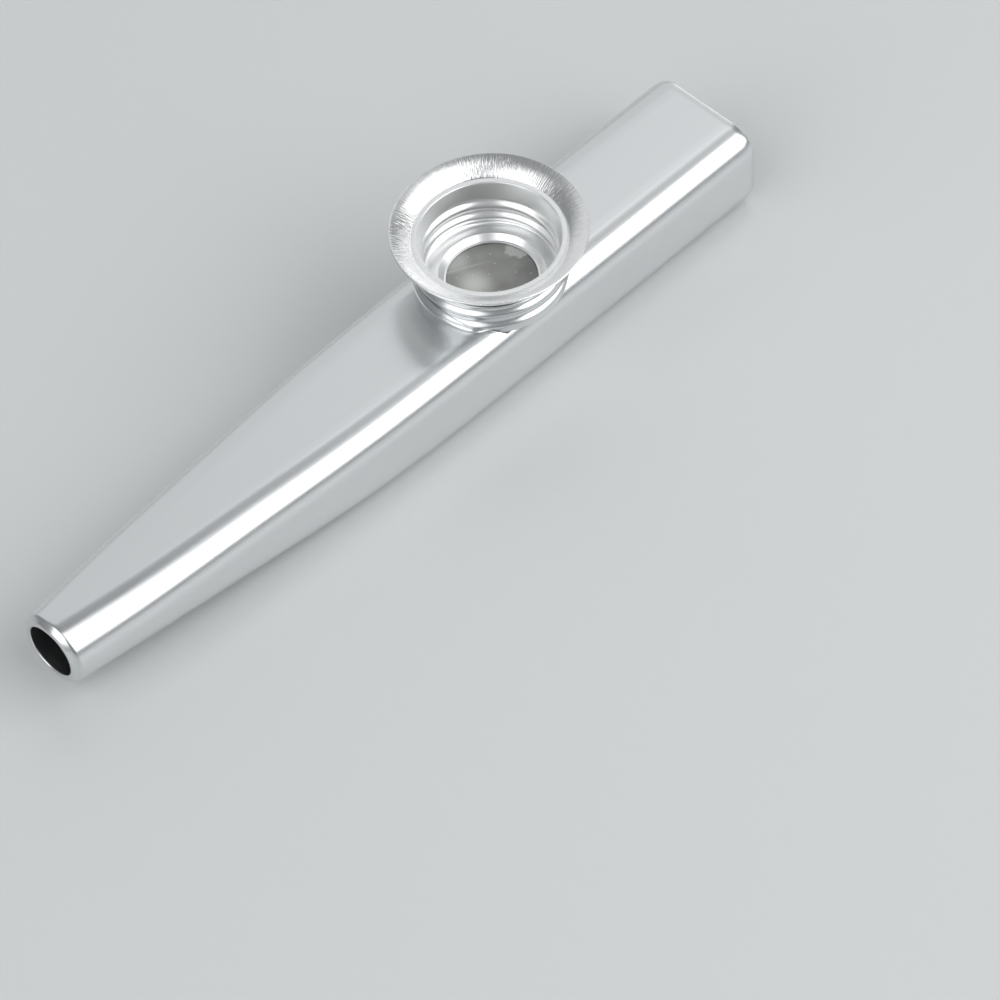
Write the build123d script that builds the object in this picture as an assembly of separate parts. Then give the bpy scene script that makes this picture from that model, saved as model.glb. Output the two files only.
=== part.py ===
from build123d import *
from math import cos, radians, sin, tan
import os

# Kazoo: a drawn aluminium tube that blends from a rounded rectangle at the mouth to a circle at the
# outlet, with a round collar drawn up out of its top plate. A membrane lies on a ledge at the foot of
# the collar, and a flared cap screws into the collar and holds it down.
# Frame: +X from the outlet to the mouth, +Z up, origin under the middle of the tube on its rest face.

# Tube
body_length = 122.6
barrel_width = 18.6
barrel_height = 13.8
barrel_corner = 4.1
body_wall = 0.8
rest_flat_depth = 0.05
outlet_diameter = 10.3
outlet_rise = 1.45
outlet_flat = 0.3
outlet_bore_diameter = 7.5
outlet_lip_length = 1.4
outlet_lip_round_share = 0.76
outlet_bore_round_share = 0.17
mouth_rim_round = 0.3

# Stations along the tube, as shares of its length, and how far each section has grown there from the
# outlet's size to the barrel's: its width and corner, and its height with its middle's height.
station_shares = (0.0, 0.1, 0.25, 0.4, 0.55, 0.7, 0.85, 1.0)
width_growth_shares = (0.0, 0.31, 0.61, 0.89, 1.0, 1.0, 1.0, 1.0)
height_growth_shares = (0.0, 0.1, 0.53, 0.89, 1.0, 1.0, 1.0, 1.0)

# Membrane: a film on a ring, drawn down inside the ring by the cap's lip
membrane_diameter = 19.4
membrane_window_diameter = 14.8
membrane_ring_thickness = 0.25
film_thickness = 0.1
film_dip = 0.4

# Collar on the tube
turret_from_outlet = 80.9
seat_depth = 1.2
seat_thickness = 0.5
seat_opening_diameter = 15.2
seat_edge_round = 0.9
collar_wall = 0.45
collar_height = 4.4
collar_foot_radius = 1.0
saddle_slope_degrees = 60.0

# Screw cap
cap_top_height = 22.7
cap_wall = 0.42
flare_diameter = 26.8
flare_height = 1.8
throat_ledge = 0.73
shoulder_overhang = 0.46
lip_hole_diameter = 12.4
cap_bottom_round = 1.0
flare_rim_round = 0.15

# Clearances, and the overrun of every cut
membrane_clearance = 0.08
thread_clearance = 0.15
lip_clearance = 0.15
clamp_gap = 0.05
shoulder_gap = 0.2
overrun = 2.0

# Places that follow from the sizes
centre_z = (barrel_height - rest_flat_depth) / 2
outlet_x = -body_length / 2
outlet_z = centre_z + outlet_rise
mouth_x = body_length / 2
turret_x = outlet_x + turret_from_outlet
outlet_rim = (outlet_diameter - outlet_bore_diameter) / 2
seat_z = barrel_height - seat_depth
film_rim_z = seat_z + clamp_gap
film_z = film_rim_z - film_dip
ring_z = film_rim_z + film_thickness
clamp_z = ring_z + membrane_ring_thickness + clamp_gap
collar_top_z = barrel_height + collar_height
shoulder_z = collar_top_z + shoulder_gap
throat_z = cap_top_height - flare_height
membrane_radius = membrane_diameter / 2
window_radius = membrane_window_diameter / 2
collar_bore = membrane_radius + membrane_clearance
collar_radius = collar_bore + collar_wall
cap_radius = collar_bore - thread_clearance
flare_radius = flare_diameter / 2
lip_hole_radius = lip_hole_diameter / 2

turret_axis = Axis((turret_x, 0, 0), (0, 0, 1))
turret_plane = Plane((turret_x, 0, 0), x_dir=(1, 0, 0), z_dir=(0, -1, 0))


def cross_plane(x, z):
    """A plane across the tube, with its local axes along Y and Z."""
    return Plane((x, 0, z), x_dir=(0, 1, 0), z_dir=(1, 0, 0))


def turned(outline):
    """A full turn, about the turret's axis, of a closed outline drawn as (radius, height)."""
    return revolve(turret_plane * make_face(outline), turret_axis, 360)


def tube_section(station, width_growth, height_growth, inset):
    """One rounded-rectangle section of the tube, inset from its outer skin."""
    width = outlet_diameter + (barrel_width - outlet_diameter) * width_growth
    height = outlet_diameter + (barrel_height + rest_flat_depth - outlet_diameter) * height_growth
    outlet_corner = (outlet_diameter - outlet_flat) / 2
    corner = outlet_corner + (barrel_corner - outlet_corner) * width_growth
    outline = RectangleRounded(width - 2 * inset, height - 2 * inset, corner - inset)
    middle_z = centre_z + outlet_rise * (1 - height_growth)
    return cross_plane(station, middle_z) * outline


def tube_form(inset, start, end):
    """The tube's smooth form between two places along it."""
    sections = []
    for share, width_growth, height_growth in zip(station_shares, width_growth_shares, height_growth_shares):
        station = start + (end - start) * share
        sections.append(tube_section(station, width_growth, height_growth, inset))
    return loft(sections)


def saddle():
    """A roof over the tube whose slopes touch its long upper corners, to run the collar's foot out."""
    slope = radians(saddle_slope_degrees)
    touch_y = barrel_width / 2 - barrel_corner + barrel_corner * sin(slope)
    touch_z = barrel_height - barrel_corner + barrel_corner * cos(slope)
    ridge_z = touch_z + touch_y * tan(slope)
    eaves = [(touch_y, centre_z), (touch_y, touch_z), (0, ridge_z), (-touch_y, touch_z), (-touch_y, centre_z)]
    reach = collar_radius + collar_foot_radius + overrun
    return extrude(cross_plane(turret_x - reach, 0) * make_face(Polyline(*eaves, close=True)), 2 * reach)


def collar_foot():
    """The concave flare where the collar rises from the top plate."""
    toe = collar_radius + collar_foot_radius
    rise_z = barrel_height + collar_foot_radius
    flare = Polyline((toe, barrel_height), (toe, centre_z), (0, centre_z), (0, rise_z), (collar_radius, rise_z))
    flare += CenterArc((toe, rise_z), collar_foot_radius, 180, 90)
    return turned(flare) & saddle()


def collar():
    """The collar's wall, and the ledge at its foot that the membrane lies on."""
    opening = seat_opening_diameter / 2
    seat_bottom_z = seat_z - seat_thickness
    ring = turned(
        Polyline(
            (opening, seat_bottom_z),
            (collar_radius, seat_bottom_z),
            (collar_radius, collar_top_z),
            (collar_bore, collar_top_z),
            (collar_bore, seat_z),
            (opening, seat_z),
            close=True,
        )
    )
    lower_rim = ring.edges().filter_by(GeomType.CIRCLE).group_by(Axis.Z)[0].sort_by(SortBy.RADIUS)[-1]
    return fillet(lower_rim, seat_edge_round)


def make_body():
    """The drawn tube: hollow, open at both ends, with rounded rims and the collar on top."""
    cavity = tube_form(body_wall, outlet_x + outlet_lip_length, mouth_x + overrun)
    bore_start = cross_plane(outlet_x - overrun, outlet_z)
    bore = extrude(bore_start * Circle(outlet_bore_diameter / 2), outlet_lip_length + 2 * overrun)
    under_rest = extrude(Plane.XY * Rectangle(2 * body_length, 2 * barrel_width), -barrel_height)
    tube = tube_form(0, outlet_x, mouth_x) - cavity - bore
    outlet_rims = tube.edges().group_by(Axis.X)[0]
    bore_rim = outlet_rims.filter_by(GeomType.CIRCLE).sort_by(SortBy.LENGTH)[-1]
    tube = fillet(bore_rim, outlet_rim * outlet_bore_round_share)
    outer_rim = tube.faces().sort_by(Axis.X)[0].outer_wire().edges()
    tube = fillet(outer_rim, outlet_rim * outlet_lip_round_share) - under_rest
    mouth_rims = tube.faces().sort_by(Axis.X)[-1].edges()
    tube = fillet(mouth_rims, mouth_rim_round)
    tube += collar_foot() - cavity
    opening = seat_opening_diameter / 2
    well = Polyline(
        (0, centre_z),
        (opening, centre_z),
        (opening, seat_z),
        (collar_bore, seat_z),
        (collar_bore, collar_top_z),
        (0, collar_top_z),
        close=True,
    )
    return tube - turned(well) + collar()


def make_screw_cap():
    """The cap: turned-in lip, threaded wall, shoulder over the collar, ledged throat and bell-mouthed flare."""
    wall_bore = cap_radius - cap_wall
    band_outside = cap_radius + shoulder_overhang
    band_radius = band_outside - cap_wall
    throat_radius = band_radius + throat_ledge
    throat_outside = throat_radius + cap_wall
    ledge_bottom_z = throat_z - cap_wall
    flange_top_z = clamp_z + cap_wall
    lip_z = film_z + film_thickness + clamp_gap
    lip_tip = lip_hole_radius + cap_wall
    lip_root = window_radius - lip_clearance
    lip_lean = (lip_root - lip_tip) / (clamp_z - lip_z)
    lip_top = lip_hole_radius + lip_lean * (flange_top_z - lip_z)
    outside = Polyline(
        (lip_hole_radius, lip_z),
        (lip_tip, lip_z),
        (lip_root, clamp_z),
        (cap_radius, clamp_z),
        (cap_radius, shoulder_z),
        (band_outside, shoulder_z),
        (band_outside, ledge_bottom_z),
        (throat_outside, ledge_bottom_z),
    )
    under_flare = EllipticalCenterArc(
        (flare_radius, ledge_bottom_z), flare_radius - throat_outside, flare_height, start_angle=90, arc_size=90
    )
    rim = Line((flare_radius, cap_top_height - cap_wall), (flare_radius, cap_top_height))
    top_of_flare = EllipticalCenterArc(
        (flare_radius, throat_z), flare_radius - throat_radius, flare_height, start_angle=90, arc_size=90
    )
    inside = Polyline(
        (throat_radius, throat_z),
        (band_radius, throat_z),
        (band_radius, shoulder_z + band_radius - wall_bore),
        (wall_bore, shoulder_z),
        (wall_bore, flange_top_z),
        (lip_top, flange_top_z),
        (lip_hole_radius, lip_z),
    )
    cap = turned(outside + under_flare + rim + top_of_flare + inside)
    rims = cap.edges().filter_by(GeomType.CIRCLE).sort_by(SortBy.RADIUS)[-2:]
    cap = fillet(rims, flare_rim_round)
    for rim_z, rim_round in ((clamp_z, cap_bottom_round), (flange_top_z, cap_bottom_round - cap_wall)):
        wall_rims = cap.edges().filter_by(GeomType.CIRCLE).filter_by_position(Axis.Z, rim_z, rim_z)
        cap = fillet(wall_rims.sort_by(SortBy.RADIUS)[-1], rim_round)
    return cap


def make_membrane_ring():
    """The ring that carries the film."""
    top_z = ring_z + membrane_ring_thickness
    corners = [(window_radius, ring_z), (membrane_radius, ring_z), (membrane_radius, top_z), (window_radius, top_z)]
    return turned(Polyline(*corners, close=True))


def make_membrane_film():
    """The film: a flat rim under the ring, and a flat middle that the cap's lip draws down."""
    flat_radius = lip_hole_radius + cap_wall + lip_clearance
    under = [(0, film_z), (flat_radius, film_z), (window_radius, film_rim_z), (membrane_radius, film_rim_z)]
    over = [(radius, z + film_thickness) for radius, z in reversed(under)]
    return turned(Polyline(*under, *over, close=True))


pieces = {
    "body": make_body(),
    "screw_cap": make_screw_cap(),
    "membrane_ring": make_membrane_ring(),
    "membrane_film": make_membrane_film(),
}
os.makedirs("parts", exist_ok=True)
for name, piece in pieces.items():
    export_step(piece, f"parts/{name}.step")
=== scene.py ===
import math

import bmesh
import bpy
import numpy as np
from mathutils import Matrix, Vector


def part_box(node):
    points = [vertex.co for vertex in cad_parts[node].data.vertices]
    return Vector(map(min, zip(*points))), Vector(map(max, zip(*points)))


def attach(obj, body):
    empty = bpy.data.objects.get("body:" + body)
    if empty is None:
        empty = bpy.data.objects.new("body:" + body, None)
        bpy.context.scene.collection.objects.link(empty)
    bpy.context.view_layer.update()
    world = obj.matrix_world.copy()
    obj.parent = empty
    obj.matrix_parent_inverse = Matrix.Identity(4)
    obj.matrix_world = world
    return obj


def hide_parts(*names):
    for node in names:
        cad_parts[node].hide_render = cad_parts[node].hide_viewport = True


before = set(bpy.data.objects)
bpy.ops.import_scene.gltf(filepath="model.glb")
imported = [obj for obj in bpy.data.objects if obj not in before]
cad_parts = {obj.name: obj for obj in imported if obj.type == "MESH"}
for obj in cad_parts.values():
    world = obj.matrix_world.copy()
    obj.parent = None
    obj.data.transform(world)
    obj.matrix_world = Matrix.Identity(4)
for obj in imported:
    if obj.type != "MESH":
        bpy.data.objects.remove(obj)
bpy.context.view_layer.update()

# Kazoo: a drawn aluminium tube with a threaded collar, a spun cap screwed into it, and a membrane between.
# Lengths are in millimetres, and each finished mesh is scaled to metres.
MM = 0.001


def node_box(node):
    """A node's lowest and highest corners, in millimetres."""
    low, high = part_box(node)
    return low / MM, high / MM


# Places and sizes that the frame gives
body_low, body_high = node_box("body")
cap_low, cap_high = node_box("screw_cap")
ring_low, ring_high = node_box("membrane_ring")
film_low, film_high = node_box("membrane_film")
outlet_x = body_low.x
mouth_x = body_high.x
turret_x = (cap_low.x + cap_high.x) / 2
collar_radius = (body_high.y - body_low.y) / 2
collar_top_z = body_high.z
flare_radius = (cap_high.x - cap_low.x) / 2
cap_top_z = cap_high.z
lip_z = cap_low.z
membrane_radius = (ring_high.x - ring_low.x) / 2

# Tube
barrel_width = 18.6
barrel_height = 13.8
barrel_corner = 4.1
body_wall = 0.8
rest_flat_depth = 0.05
outlet_diameter = 10.3
outlet_corner = 5.0
outlet_rise = 1.45
outlet_rim = 1.4
outlet_lip_length = 1.4
outlet_slope = 0.76
outlet_slope_round = 0.7
outlet_tip_round = 0.45
outlet_bore_round = 0.24
mouth_turn_length = 1.1
mouth_turn_in = 0.24
mouth_turn_round = 4.0
mouth_rim_round = 0.4
mouth_bore_round = 0.12
tube_step = 1.5
corner_steps = 18
flat_steps = 8
centre_z = (barrel_height - rest_flat_depth) / 2

# How far each section has grown from the outlet's size to the barrel's, at shares of the tube's length
station_shares = (0.0, 0.1, 0.25, 0.4, 0.55, 0.7, 0.85, 1.0)
width_growth_shares = (0.0, 0.31, 0.61, 0.89, 1.0, 1.0, 1.0, 1.0)
height_growth_shares = (0.0, 0.1, 0.53, 0.89, 1.0, 1.0, 1.0, 1.0)

# Collar
collar_wall = 0.45
collar_rim_round = 0.2
film_dip = 0.4
clamp_gap = 0.05
seat_z = film_low.z + film_dip - clamp_gap
seat_thickness = 0.5
seat_opening_radius = 7.6
seat_edge_radius = 9.4
seat_edge_round = 0.3
collar_under_radius = 9.8
collar_under_z = 12.6
collar_base_z = 13.2
collar_base_round = 0.12
foot_radius = 1.0
foot_least_radius = 0.03
foot_spread = 44.0
foot_skirt = 0.4
foot_lift = 0.006
foot_depth = 0.3
foot_start = 170.0
foot_steps = 12
touch_steps = 48
foot_turns = 112

# Rolled thread of the collar and the cap, one right-hand helix
thread_pitch = 2.25
thread_depth = 0.3
thread_crest_z = 15.24
thread_sharpness = 1.6
thread_fade = 0.5
collar_thread_bottom_z = collar_base_z - thread_fade

# Cap
cap_wall = 0.42
cap_radius = 9.63
cap_bottom_round = 1.0
flare_height = 1.8
flare_fullness = 1.25
flare_rim_round = 0.15
throat_ledge = 0.73
shoulder_overhang = 0.46
shoulder_gap = 0.2
lip_hole_radius = 6.2
lip_root_radius = 7.25
lip_edge_round = 0.12
lip_bead_radius = 6.45
lip_bead_z = 12.78
lip_bead_drop = 0.05
lip_bead_round = 0.08
fold_round = 0.15

# Membrane, with the film's slack and its one crease
window_radius = 7.4
card_edge_round = 0.06
film_thickness = 0.1
lip_clearance = 0.15
crease_along = Vector((0.89, -0.456))
crease_across = Vector((0.456, 0.89))
crease_from_middle = 3.12
crease_end = 0.9
crease_fade = 4.0
crease_width = 0.12
crease_height = 0.03
slack_height = 0.02
slack_length = 12.0
slack_flatness = 4

# Pale places on the film, painted sheen near the middle, painted sheen beside the crease and a pale spot:
# middle, and the radii where each is full and gone, and how far the last one's edge wanders
near_sheen_spot = ((-2.4, 1.0), 0.3, 3.4)
crease_sheen_spot = ((-1.2, 5.8), 0.6, 2.8)
wandering_pale_spot = ((6.9, 2.1), 1.5, 1.9)
pale_spot_wander = 1.6

# Sizes of the patterns on the materials: draw lines and card tooth are coarser than real ones, to show
draw_line_length = 30.0
draw_line_width = 0.4
draw_line_depth = 0.0006
streak_width = 0.18
streak_length = 2.0
streak_depth = 0.045
streaks_from_radius = 9.9
streaks_full_radius = 10.5
tooth_size = 0.3
tooth_depth = 0.01
cloud_size = 5.0
pale_spot_wander_size = 1.3
dust_spacing = 3.1
speck_edge_share = 0.03
speck_core_share = 0.018

floor_reach = 4000.0

# Fineness of the turned pieces
turn_steps = 240
wall_step = 0.14
film_step = 0.12
fold_steps = 5
flare_steps = 24
sharp_angle = 38.0
merge_distance = 0.0005


def smooth_curve(places, values):
    """The natural cubic spline through values at places, as a function."""
    gaps = np.diff(places)
    slopes = np.diff(values) / gaps
    size = len(places)
    system = np.eye(size)
    wanted = np.zeros(size)
    for i in range(1, size - 1):
        system[i, i - 1 : i + 2] = gaps[i - 1], 2 * (gaps[i - 1] + gaps[i]), gaps[i]
        wanted[i] = 6 * (slopes[i] - slopes[i - 1])
    bends = np.linalg.solve(system, wanted)

    def curve(place):
        i = int(np.clip(np.searchsorted(places, place) - 1, 0, size - 2))
        gap = gaps[i]
        after = place - places[i]
        before = gap - after
        bend_before = bends[i] * before * (before**2 - gap**2)
        bend_after = bends[i + 1] * after * (after**2 - gap**2)
        straight = (values[i] * before + values[i + 1] * after) / gap
        return (bend_before + bend_after) / (6 * gap) + straight

    return curve


width_growth = smooth_curve(station_shares, width_growth_shares)
height_growth = smooth_curve(station_shares, height_growth_shares)


def arc_points(centre, radius, start, sweep, steps):
    """Points along an arc, by angles in degrees."""
    angles = [math.radians(start + sweep * step / steps) for step in range(steps + 1)]
    x, y = centre
    return [(x + radius * math.cos(angle), y + radius * math.sin(angle)) for angle in angles]


def rounded(corners):
    """A closed outline of (radius, height) points, from corners (radius, height, rounding)."""
    outline = []
    for i, (radius, height, rounding) in enumerate(corners):
        here = Vector((radius, height))
        if rounding == 0:
            outline.append(here)
            continue
        back = Vector(corners[i - 1][:2]) - here
        ahead = Vector(corners[(i + 1) % len(corners)][:2]) - here
        back.normalize()
        ahead.normalize()
        half = back.angle(ahead) / 2
        reach = rounding / math.tan(half)
        centre = here + (back + ahead).normalized() * (rounding / math.sin(half))
        start = here + back * reach - centre
        end = here + ahead * reach - centre
        sweep = start.angle_signed(end)
        for step in range(fold_steps + 1):
            outline.append(centre + Matrix.Rotation(-sweep * step / fold_steps, 2) @ start)
    return [tuple(point) for point in outline]


def finer(outline, longest):
    """The closed outline with every stretch cut into pieces no longer than that."""
    points = []
    for start, end in zip(outline, outline[1:] + outline[:1]):
        start = Vector(start)
        end = Vector(end)
        pieces = max(1, math.ceil((end - start).length / longest))
        points += [tuple(start.lerp(end, piece / pieces)) for piece in range(pieces)]
    return points


def section_size(x, inset):
    """Half width, half height, corner radius and middle height of the tube's inset section at x."""
    share = (x - outlet_x) / (mouth_x - outlet_x)
    wide = width_growth(share)
    tall = height_growth(share)
    half_width = (outlet_diameter + (barrel_width - outlet_diameter) * wide) / 2 - inset
    full_height = barrel_height + rest_flat_depth
    half_height = (outlet_diameter + (full_height - outlet_diameter) * tall) / 2 - inset
    corner = outlet_corner + (barrel_corner - outlet_corner) * wide - inset
    return half_width, half_height, corner, centre_z + outlet_rise * (1 - tall)


def section_points(x, inset):
    """The closed ring of (y, z) points round the tube's section at x."""
    half_width, half_height, corner, middle_z = section_size(x, inset)
    corners = []
    for turn, (side_y, side_z) in enumerate(((1, 1), (-1, 1), (-1, -1), (1, -1))):
        centre = (side_y * (half_width - corner), middle_z + side_z * (half_height - corner))
        corners.append(arc_points(centre, corner, 90 * turn, 90, corner_steps))
    points = []
    for arc, following in zip(corners, corners[1:] + corners[:1]):
        points += arc
        start = Vector(arc[-1])
        end = Vector(following[0])
        points += [tuple(start.lerp(end, step / flat_steps)) for step in range(1, flat_steps)]
    return [(y, max(z, 0)) for y, z in points + points[:1]]


def tube_path():
    """The closed path of the tube's skin, as (x, inset): out to the mouth, over its rim and back inside."""
    outlet_inside = outlet_x + outlet_lip_length
    corners = [
        (outlet_inside, 0, 0),
        (mouth_x - mouth_turn_length, 0, mouth_turn_round),
        (mouth_x, mouth_turn_in, mouth_rim_round),
        (mouth_x, body_wall, mouth_bore_round),
        (outlet_inside, body_wall, 0),
        (outlet_inside, outlet_rim, 0),
        (outlet_x, outlet_rim, outlet_bore_round),
        (outlet_x, outlet_slope, outlet_tip_round),
        (outlet_x + outlet_slope, 0, outlet_slope_round),
    ]
    return finer(rounded(corners), tube_step)


def shaped_grid(columns, rows):
    """A flat grid of that many points, and each point's column and row."""
    bm = bmesh.new()
    bmesh.ops.create_grid(bm, x_segments=columns - 1, y_segments=rows - 1, size=1)
    places = [
        (point, round((point.co.x + 1) / 2 * (columns - 1)), round((point.co.y + 1) / 2 * (rows - 1)))
        for point in bm.verts
    ]
    return bm, places


def close_seams(bm):
    """Merges the meeting edges of a shape, and turns its faces outwards."""
    bmesh.ops.remove_doubles(bm, verts=bm.verts, dist=merge_distance)
    bmesh.ops.recalc_face_normals(bm, faces=bm.faces)
    return bm


def make_piece(name, bm, material, body):
    """The finished object of a mesh built in millimetres, riding on its body."""
    bmesh.ops.scale(bm, vec=(MM, MM, MM), verts=bm.verts)
    mesh = bpy.data.meshes.new(name)
    bm.to_mesh(mesh)
    bm.free()
    mesh.shade_smooth()
    mesh.set_sharp_from_angle(angle=math.radians(sharp_angle))
    mesh.materials.append(material)
    piece = bpy.data.objects.new(name, mesh)
    bpy.context.scene.collection.objects.link(piece)
    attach(piece, body)
    return piece


def spun(outline):
    """A full turn of a closed outline about the turret's axis."""
    bm = bmesh.new()
    points = [bm.verts.new((turret_x + radius, 0, height)) for radius, height in outline]
    edges = [bm.edges.new(pair) for pair in zip(points, points[1:] + points[:1])]
    axis = Vector((turret_x, 0, 0))
    bmesh.ops.spin(
        bm, geom=points + edges, cent=axis, axis=(0, 0, 1), angle=math.tau, steps=turn_steps, use_merge=True
    )
    return close_seams(bm)


def thread_swell(flat, z, bottom_z, top_z):
    """How far the rolled thread pushes a wall out at a point round it, fading at both its ends."""
    climb = (z - thread_crest_z) / thread_pitch - math.atan2(flat.y, flat.x) / math.tau
    crest = ((1 + math.cos(math.tau * climb)) / 2) ** thread_sharpness
    room = min(z - bottom_z, top_z - z) / thread_fade
    share = min(max(room, 0), 1)
    return thread_depth * (2 * crest - 1) * share * share * (3 - 2 * share)


def roll_thread(bm, least_radius, most_radius, bottom_z, top_z):
    """Pushes a wall in and out along the helix."""
    for point in bm.verts:
        flat = Vector((point.co.x - turret_x, point.co.y))
        if not least_radius < flat.length < most_radius:
            continue
        flat *= 1 + thread_swell(flat, point.co.z, bottom_z, top_z) / flat.length
        point.co.x = turret_x + flat.x
        point.co.y = flat.y


def cut_away(piece, bm):
    """Cuts a closed shape, built in millimetres, out of a piece."""
    bmesh.ops.scale(bm, vec=(MM, MM, MM), verts=bm.verts)
    mesh = bpy.data.meshes.new("cutter")
    bm.to_mesh(mesh)
    bm.free()
    cutter = bpy.data.objects.new("cutter", mesh)
    bpy.context.scene.collection.objects.link(cutter)
    cut = piece.modifiers.new("hole", "BOOLEAN")
    cut.operation = "DIFFERENCE"
    cut.solver = "EXACT"
    cut.object = cutter
    bpy.context.view_layer.update()
    evaluated = piece.evaluated_get(bpy.context.evaluated_depsgraph_get())
    piece.data = bpy.data.meshes.new_from_object(evaluated)
    piece.modifiers.remove(cut)
    bpy.data.objects.remove(cutter)


def make_tube(material):
    """The drawn tube, with a stepped hole in its top plate under the collar."""
    path = tube_path()
    rings = [section_points(x, inset) for x, inset in path]
    rings.append(rings[0])
    stations = [x for x, _ in path] + [path[0][0]]
    bm, places = shaped_grid(len(rings), len(rings[0]))
    for point, column, row in places:
        y, z = rings[column][row]
        point.co = (stations[column], y, z)
    close_seams(bm)
    tube = make_piece("tube", bm, material, "tube")
    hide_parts("body")
    ledge_z = seat_z - seat_thickness / 2
    hole_radius = collar_radius - collar_wall / 2
    neck_radius = seat_opening_radius + seat_thickness
    above_z = collar_top_z + collar_wall
    hole = spun(
        [
            (0, centre_z),
            (neck_radius, centre_z),
            (neck_radius, ledge_z),
            (hole_radius, ledge_z),
            (hole_radius, above_z),
            (0, above_z),
        ]
    )
    cut_away(tube, hole)


def make_collar(material):
    """The threaded collar and the ledge at its foot that the membrane lies on."""
    bore = collar_radius - collar_wall
    bottom_z = seat_z - seat_thickness
    outline = rounded(
        [
            (seat_opening_radius, bottom_z, 0),
            (seat_edge_radius, bottom_z, seat_edge_round),
            (collar_under_radius, collar_under_z, seat_edge_round),
            (collar_radius, collar_base_z, collar_base_round),
            (collar_radius, collar_top_z, collar_rim_round),
            (bore, collar_top_z, collar_rim_round),
            (bore, seat_z, 0),
            (seat_opening_radius, seat_z, 0),
        ]
    )
    bm = spun(finer(outline, wall_step))
    roll_thread(bm, bore - merge_distance, flare_radius, collar_thread_bottom_z, collar_top_z)
    make_piece("collar", bm, material, "tube")


def top_height(x, y):
    """Height of the tube's upper skin over a point, level with its corner's middle beside the tube."""
    half_width, half_height, corner, middle_z = section_size(x, 0)
    over = min(max(abs(y) - (half_width - corner), 0), corner)
    return middle_z + half_height - corner + math.sqrt(corner**2 - over**2)


def foot_outline(side, angle):
    """The closed outline of the collar's concave foot, at an angle off the tube's length."""
    towards = Vector((side * math.cos(angle), math.sin(angle)))
    fade = (angle / math.radians(foot_spread)) ** 2
    round_radius = foot_radius + (foot_least_radius - foot_radius) * fade

    def skin(radius):
        return top_height(turret_x + radius * towards.x, radius * towards.y)

    wall_z = skin(collar_radius) + round_radius
    wall = collar_radius + thread_swell(towards, wall_z, collar_thread_bottom_z, collar_top_z)
    middle = wall + round_radius
    reaches = np.linspace(wall, middle, touch_steps)
    bows = [math.sqrt(max(round_radius**2 - (middle - reach) ** 2, 0)) for reach in reaches]
    heights = [skin(reach) + bow for reach, bow in zip(reaches, bows)]
    touch = reaches[int(np.argmax(heights))]
    end = 270 - math.degrees(math.asin((middle - touch) / round_radius))
    arc = arc_points((middle, max(heights)), round_radius, foot_start, end - foot_start, foot_steps)
    skirt = touch + foot_skirt * round_radius
    hidden = [(skirt, skin(skirt) - foot_depth), (wall - foot_depth, skin(wall) - foot_depth)]
    return arc + [(skirt, skin(skirt) + foot_lift)] + hidden


def make_foot(material, name, side):
    """The concave foot where the collar rises from the top plate, on one side."""
    turns = [math.radians(foot_spread * (2 * turn / foot_turns - 1)) for turn in range(foot_turns + 1)]
    outlines = [foot_outline(side, angle) for angle in turns]
    bm, places = shaped_grid(len(turns), len(outlines[0]) + 1)
    for point, column, row in places:
        radius, height = outlines[column][row % len(outlines[0])]
        angle = turns[column]
        point.co = (turret_x + side * radius * math.cos(angle), radius * math.sin(angle), height)
    close_seams(bm)
    bmesh.ops.holes_fill(bm, edges=bm.edges)
    bmesh.ops.recalc_face_normals(bm, faces=bm.faces)
    make_piece(name, bm, material, "tube")


def flare_curve(throat, bottom_z):
    """The bell of the flare from its throat to near its rim: steep, then sloping, then level."""
    points = []
    for step in range(1, flare_steps - 1):
        angle = math.radians(90 * step / flare_steps)
        inward = math.cos(angle) ** (2 / flare_fullness)
        upward = math.sin(angle) ** (2 / flare_fullness)
        radius = flare_radius - (flare_radius - throat) * inward
        points.append((radius, bottom_z + flare_height * upward, 0))
    return points


def make_screw_cap(material):
    """The cap: turned-in lip, rolled thread, shoulder, ledged throat and bell-mouthed flare."""
    wall_bore = cap_radius - cap_wall
    band_outside = cap_radius + shoulder_overhang
    band_radius = band_outside - cap_wall
    throat_radius = band_radius + throat_ledge
    throat_outside = throat_radius + cap_wall
    throat_z = cap_top_z - flare_height
    ledge_bottom_z = throat_z - cap_wall
    shoulder_z = collar_top_z + shoulder_gap
    clamp_z = ring_high.z + clamp_gap
    flange_z = clamp_z + cap_wall
    tip_radius = lip_hole_radius + cap_wall
    lean = (lip_root_radius - tip_radius) / (clamp_z - lip_z)
    lip_top_radius = lip_hole_radius + lean * (flange_z - lip_z)
    corners = [
        (lip_hole_radius, lip_z, lip_edge_round),
        (tip_radius, lip_z, lip_edge_round),
        (lip_root_radius, clamp_z, fold_round),
        (cap_radius, clamp_z, cap_bottom_round),
        (cap_radius, shoulder_z, fold_round),
        (band_outside, shoulder_z, fold_round),
        (band_outside, ledge_bottom_z, fold_round),
        (throat_outside, ledge_bottom_z, 0),
    ]
    corners += flare_curve(throat_outside, ledge_bottom_z)
    corners.append((flare_radius, cap_top_z - cap_wall, flare_rim_round))
    corners.append((flare_radius, cap_top_z, flare_rim_round))
    corners += reversed(flare_curve(throat_radius, throat_z))
    corners += [
        (throat_radius, throat_z, 0),
        (band_radius, throat_z, fold_round),
        (wall_bore, shoulder_z, fold_round),
        (wall_bore, flange_z, cap_bottom_round - cap_wall),
        (lip_top_radius, flange_z, fold_round),
        (lip_bead_radius, lip_bead_z, lip_bead_round),
        (lip_hole_radius, lip_bead_z - lip_bead_drop, lip_bead_round),
    ]
    bm = spun(finer(rounded(corners), wall_step))
    thread_bottom_z = clamp_z + cap_bottom_round - thread_fade
    roll_thread(bm, wall_bore - cap_wall, band_outside, thread_bottom_z, shoulder_z)
    cap = make_piece("cap", bm, material, "cap")
    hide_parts("screw_cap")


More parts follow.
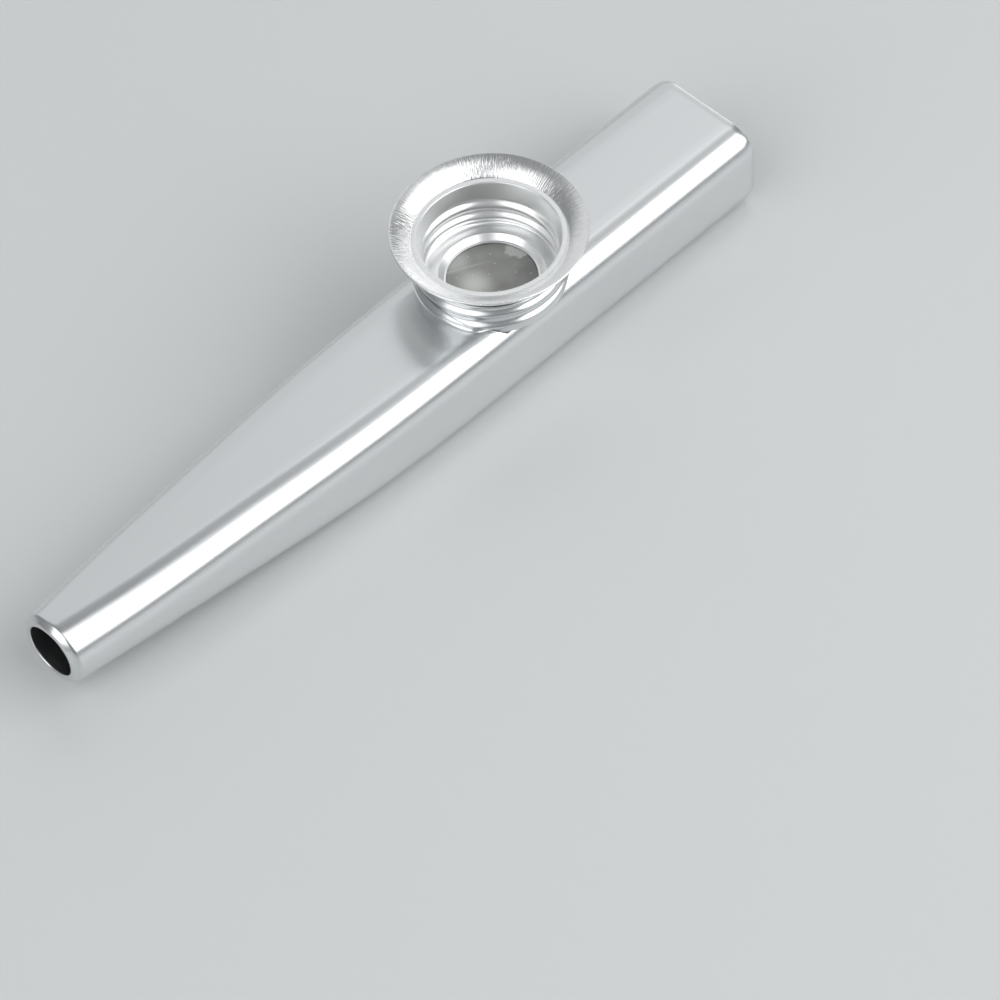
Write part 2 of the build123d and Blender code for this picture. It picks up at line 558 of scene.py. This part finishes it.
def film_crease(across):
    """How strong the film's crease is at a point: it runs in from the lip and dies away."""
    off = across.dot(crease_across) - crease_from_middle
    left = min(max((crease_end - across.dot(crease_along)) / crease_fade, 0), 1)
    return left * math.exp(-((off / crease_width) ** 2))


def film_wave(across):
    """Height of the film's crease and slack over its flat middle."""
    edge = max(0, 1 - (across.length / lip_hole_radius) ** slack_flatness)
    along = math.cos(math.tau * across.dot(crease_along) / slack_length)
    off = math.cos(math.tau * across.dot(crease_across) / slack_length)
    return edge * (crease_height * film_crease(across) + slack_height * along * off)


def make_membrane(ring_material, film_material):
    """The film on its card ring, with the film drawn down and creased inside the cap's lip."""
    ring = spun(
        rounded(
            [
                (window_radius, ring_low.z, 0),
                (membrane_radius, ring_low.z, 0),
                (membrane_radius, ring_high.z, card_edge_round),
                (window_radius, ring_high.z, card_edge_round),
            ]
        )
    )
    card = make_piece("membrane_card", ring, ring_material, "membrane")
    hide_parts("membrane_ring")
    flat_radius = lip_hole_radius + cap_wall + lip_clearance
    under = [(0, film_low.z), (flat_radius, film_low.z), (window_radius, film_high.z - film_thickness)]
    under.append((membrane_radius, film_high.z - film_thickness))
    over = [(radius, z + film_thickness) for radius, z in reversed(under)]
    bm = spun(finer(under + over, film_step))
    # The crease's strength, kept on the points for the painted highlight along the crease
    crease_highlight = bm.verts.layers.float.new("crease_highlight")
    for point in bm.verts:
        across = Vector((point.co.x - turret_x, point.co.y))
        point[crease_highlight] = film_crease(across)
        point.co.z += film_wave(across)
    film = make_piece("film", bm, film_material, "membrane")
    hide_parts("membrane_film")


def linear(code):
    """A colour written as an sRGB hex code, in linear light."""
    shades = [int(code[i : i + 2], 16) / 255 for i in (1, 3, 5)]
    light = [s / 12.92 if s <= 0.04045 else ((s + 0.055) / 1.055) ** 2.4 for s in shades]
    return (*light, 1.0)


def add_node(tree, kind, settings=None, inputs=None):
    """A node with its settings, and with values or links on its inputs."""
    node = tree.nodes.new(kind)
    for name, value in (settings or {}).items():
        setattr(node, name, value)
    for name, value in (inputs or {}).items():
        if isinstance(value, bpy.types.NodeSocket):
            tree.links.new(value, node.inputs[name])
        else:
            node.inputs[name].default_value = value
    return node


def new_material(name):
    """An empty material, its node tree and its output."""
    material = bpy.data.materials.new(name)
    material.use_nodes = True
    tree = material.node_tree
    tree.nodes.clear()
    return material, tree, tree.nodes.new("ShaderNodeOutputMaterial")


def per_metre(size):
    """How often a pattern of that size, in millimetres, repeats in a metre."""
    return 1 / (size * MM)


def drawn_aluminium():
    """Polished drawn aluminium: a soft mirror, with faint lines along the draw."""
    material, tree, output = new_material("drawn_aluminium")
    place = add_node(tree, "ShaderNodeTexCoord").outputs["Object"]
    along = (per_metre(draw_line_length), per_metre(draw_line_width), per_metre(draw_line_width))
    lines = add_node(tree, "ShaderNodeMapping", inputs={"Vector": place, "Scale": along})
    line_noise = add_node(
        tree, "ShaderNodeTexNoise", inputs={"Vector": lines.outputs[0], "Scale": 1.0, "Detail": 3.0}
    )
    roughness = add_node(
        tree, "ShaderNodeMapRange", inputs={"Value": line_noise.outputs[0], "To Min": 0.2, "To Max": 0.28}
    )
    bump = add_node(
        tree,
        "ShaderNodeBump",
        inputs={"Height": line_noise.outputs[0], "Strength": 1.0, "Distance": draw_line_depth * MM},
    )
    shader = add_node(
        tree,
        "ShaderNodeBsdfPrincipled",
        inputs={
            "Base Color": linear("#dfe1e2"),
            "Metallic": 1.0,
            "Roughness": roughness.outputs[0],
            "Normal": bump.outputs[0],
        },
    )
    tree.links.new(shader.outputs[0], output.inputs[0])
    return material


def spun_aluminium():
    """Bright spun aluminium: a burnished flare with radial streaks from stretching, and a satin well."""
    material, tree, output = new_material("spun_aluminium")
    place = add_node(tree, "ShaderNodeTexCoord").outputs["Object"]
    centred = add_node(
        tree, "ShaderNodeMapping", inputs={"Vector": place, "Location": (-turret_x * MM, 0, 0)}
    )
    flat = add_node(
        tree,
        "ShaderNodeVectorMath",
        settings={"operation": "MULTIPLY"},
        inputs={0: centred.outputs[0], 1: (1, 1, 0)},
    )
    around = add_node(
        tree, "ShaderNodeVectorMath", settings={"operation": "NORMALIZE"}, inputs={0: flat.outputs[0]}
    )
    spread = add_node(
        tree,
        "ShaderNodeVectorMath",
        settings={"operation": "SCALE"},
        inputs={0: around.outputs[0], "Scale": flare_radius / streak_width},
    )
    reach = add_node(
        tree,
        "ShaderNodeVectorMath",
        settings={"operation": "SCALE"},
        inputs={0: centred.outputs[0], "Scale": per_metre(streak_length)},
    )
    streaks = add_node(
        tree,
        "ShaderNodeVectorMath",
        settings={"operation": "ADD"},
        inputs={0: spread.outputs[0], 1: reach.outputs[0]},
    )
    noise = add_node(
        tree, "ShaderNodeTexNoise", inputs={"Vector": streaks.outputs[0], "Scale": 1.0, "Detail": 2.0}
    )
    radius = add_node(
        tree, "ShaderNodeVectorMath", settings={"operation": "LENGTH"}, inputs={0: flat.outputs[0]}
    )
    on_flare = add_node(
        tree,
        "ShaderNodeMapRange",
        inputs={
            "Value": radius.outputs["Value"],
            "From Min": streaks_from_radius * MM,
            "From Max": streaks_full_radius * MM,
        },
    )
    roughness = add_node(
        tree, "ShaderNodeMapRange", inputs={"Value": on_flare.outputs[0], "To Min": 0.3, "To Max": 0.2}
    )
    bump = add_node(
        tree,
        "ShaderNodeBump",
        inputs={"Height": noise.outputs[0], "Strength": on_flare.outputs[0], "Distance": streak_depth * MM},
    )
    shader = add_node(
        tree,
        "ShaderNodeBsdfPrincipled",
        inputs={
            "Base Color": linear("#f1f2f2"),
            "Metallic": 1.0,
            "Roughness": roughness.outputs[0],
            "Normal": bump.outputs[0],
        },
    )
    tree.links.new(shader.outputs[0], output.inputs[0])
    return material


def coated_card():
    """White coated card: matt, with a fine paper tooth."""
    material, tree, output = new_material("coated_card")
    place = add_node(tree, "ShaderNodeTexCoord").outputs["Object"]
    tooth = add_node(
        tree, "ShaderNodeTexNoise", inputs={"Vector": place, "Scale": per_metre(tooth_size), "Detail": 3.0}
    )
    bump = add_node(
        tree,
        "ShaderNodeBump",
        inputs={"Height": tooth.outputs[0], "Strength": 1.0, "Distance": tooth_depth * MM},
    )
    shader = add_node(
        tree,
        "ShaderNodeBsdfPrincipled",
        inputs={"Base Color": linear("#f2f2f0"), "Roughness": 0.6, "Normal": bump.outputs[0]},
    )
    tree.links.new(shader.outputs[0], output.inputs[0])
    return material


def spot(tree, place, centre, inner, outer):
    """One inside a radius of a point of the film, fading to nothing at an outer radius."""
    middle = (turret_x * MM + centre[0] * MM, centre[1] * MM, film_low.z * MM)
    away = add_node(
        tree, "ShaderNodeVectorMath", settings={"operation": "DISTANCE"}, inputs={0: place, 1: middle}
    )
    fade = add_node(
        tree,
        "ShaderNodeMapRange",
        settings={"interpolation_type": "SMOOTHSTEP"},
        inputs={
            "Value": away.outputs["Value"],
            "From Min": outer * MM,
            "From Max": inner * MM,
        },
    )
    return fade.outputs[0]


def tinted(tree, share, colour, tint):
    """A colour, and a tint over it where the share is one. The mixer's colour sockets go by number."""
    mix = add_node(
        tree, "ShaderNodeMix", settings={"data_type": "RGBA"}, inputs={0: share, 6: colour, 7: linear(tint)}
    )
    return mix.outputs[2]


def membrane_film():
    """Thin grey plastic film: glossy and cloudy, with painted sheen in two spots, a painted highlight along
    the crease, a pale spot with a wandering edge, and dust on it.
    """
    material, tree, output = new_material("membrane_film")
    place = add_node(tree, "ShaderNodeTexCoord").outputs["Object"]
    cloud = add_node(
        tree, "ShaderNodeTexNoise", inputs={"Vector": place, "Scale": per_metre(cloud_size), "Detail": 2.0}
    )
    ramp = add_node(tree, "ShaderNodeValToRGB", inputs={"Fac": cloud.outputs[0]})
    ramp.color_ramp.elements[0].position = 0.35
    ramp.color_ramp.elements[0].color = linear("#80817f")
    ramp.color_ramp.elements[1].position = 0.7
    ramp.color_ramp.elements[1].color = linear("#9d9e9a")
    edge = add_node(
        tree,
        "ShaderNodeTexNoise",
        inputs={"Vector": place, "Scale": per_metre(pale_spot_wander_size), "Detail": 1.0},
    )
    nudge = add_node(
        tree,
        "ShaderNodeVectorMath",
        settings={"operation": "MULTIPLY_ADD"},
        inputs={0: edge.outputs["Color"], 1: (pale_spot_wander * MM, pale_spot_wander * MM, 0), 2: place},
    )
    # Painted sheen: a paler spot on the film's near side
    near_sheen = spot(tree, place, *near_sheen_spot)
    # Painted sheen: a paler spot beside the crease
    crease_sheen = spot(tree, place, *crease_sheen_spot)
    # A paler spot with a wandering edge, out near the lip
    wandering_pale = spot(tree, nudge.outputs[0], *wandering_pale_spot)
    # Painted highlight: a paler line along the crease
    crease_highlight = add_node(tree, "ShaderNodeAttribute", settings={"attribute_name": "crease_highlight"})
    dust = add_node(
        tree,
        "ShaderNodeTexVoronoi",
        settings={"voronoi_dimensions": "2D"},
        inputs={"Vector": place, "Scale": per_metre(dust_spacing)},
    )
    specks = add_node(
        tree,
        "ShaderNodeMapRange",
        inputs={
            "Value": dust.outputs["Distance"],
            "From Min": speck_edge_share,
            "From Max": speck_core_share,
        },
    )
    # Painted sheen near the middle of the film
    colour = tinted(tree, near_sheen, ramp.outputs[0], "#cfd0cd")
    # Painted sheen beside the crease
    colour = tinted(tree, crease_sheen, colour, "#b6b8b5")
    # Painted highlight along the crease
    colour = tinted(tree, crease_highlight.outputs["Fac"], colour, "#b8bab7")
    colour = tinted(tree, wandering_pale, colour, "#bcbebb")
    colour = tinted(tree, specks.outputs[0], colour, "#e4e4e0")
    shader = add_node(
        tree,
        "ShaderNodeBsdfPrincipled",
        inputs={"Base Color": colour, "Roughness": 0.25, "IOR": 1.5},
    )
    tree.links.new(shader.outputs[0], output.inputs[0])
    return material


def studio_floor():
    """Pale satin acrylic sheet, which mirrors the lights softly at low angles."""
    material, tree, output = new_material("studio_floor")
    shader = add_node(
        tree, "ShaderNodeBsdfPrincipled", inputs={"Base Color": linear("#d0d2d2"), "Roughness": 0.3}
    )
    tree.links.new(shader.outputs[0], output.inputs[0])
    return material


def make_floor():
    """A wide plain floor under the part."""
    bm = bmesh.new()
    bmesh.ops.create_grid(bm, x_segments=1, y_segments=1, size=floor_reach * MM)
    mesh = bpy.data.meshes.new("floor")
    bm.to_mesh(mesh)
    bm.free()
    mesh.materials.append(studio_floor())
    floor = bpy.data.objects.new("floor", mesh)
    bpy.context.scene.collection.objects.link(floor)


def add_softbox(name, azimuth, elevation, distance, width, height, radiance):
    """A soft light that faces the part, placed by angles in degrees, given the brightness of its face."""
    light = bpy.data.lights.new(name, "AREA")
    light.shape = "RECTANGLE"
    light.size = width
    light.size_y = height
    light.energy = radiance * math.pi * width * height
    lamp = bpy.data.objects.new(name, light)
    turn = math.radians(azimuth)
    rise = math.radians(elevation)
    towards = Vector((math.cos(rise) * math.cos(turn), math.cos(rise) * math.sin(turn), math.sin(rise)))
    lamp.location = towards * distance
    lamp.rotation_euler = towards.to_track_quat("Z", "Y").to_euler()
    bpy.context.scene.collection.objects.link(lamp)


def light_studio():
    """A broad key light in front, a small one above it, softer ones all round, and a grey room."""
    # Azimuth and elevation in degrees, then distance, width and height in metres, then brightness
    add_softbox("key", -62, 37, 1.0, 1.2, 0.82, 2.2)
    add_softbox("front_top", -80, 68, 1.2, 0.42, 0.4, 1.6)
    add_softbox("back", 58, 32, 1.1, 1.4, 1.25, 0.46)
    add_softbox("outlet_side", 183, 38, 1.0, 0.85, 1.1, 1.4)
    add_softbox("mouth_side", 11, 12.5, 1.2, 1.0, 0.42, 0.8)
    add_softbox("top", -3, 60, 1.3, 1.4, 0.55, 0.38)
    world = bpy.data.worlds.new("room")
    bpy.context.scene.world = world
    world.use_nodes = True
    background = world.node_tree.nodes["Background"]
    background.inputs["Color"].default_value = linear("#8c8e90")
    background.inputs["Strength"].default_value = 1.0


def add_camera():
    """The photograph's view: a long lens, looking down on the tube from its outlet's side."""
    distance = 698.5
    azimuth = 42.231
    elevation = 51.352
    roll = -4.004
    aim = Vector((-0.027, -20.068, 0))
    camera = bpy.data.cameras.new("camera")
    camera.sensor_width = 36
    camera.lens = 189.945
    camera.clip_start = 0.01
    viewer = bpy.data.objects.new("camera", camera)
    turn = Matrix.Rotation(math.radians(-azimuth), 4, "Z")
    tilt = Matrix.Rotation(math.radians(90 - elevation), 4, "X")
    lean = Matrix.Rotation(math.radians(roll), 4, "Z")
    back = Matrix.Translation((0, 0, distance * MM))
    viewer.matrix_world = Matrix.Translation(aim * MM) @ turn @ tilt @ back @ lean
    bpy.context.scene.collection.objects.link(viewer)
    bpy.context.scene.camera = viewer


drawn = drawn_aluminium()
spun_metal = spun_aluminium()
make_tube(drawn)
make_collar(drawn)
make_foot(drawn, "foot_outlet_side", -1)
make_foot(drawn, "foot_mouth_side", 1)
make_screw_cap(spun_metal)
make_membrane(coated_card(), membrane_film())
make_floor()
light_studio()
add_camera()
bpy.context.scene.view_settings.view_transform = "Standard"
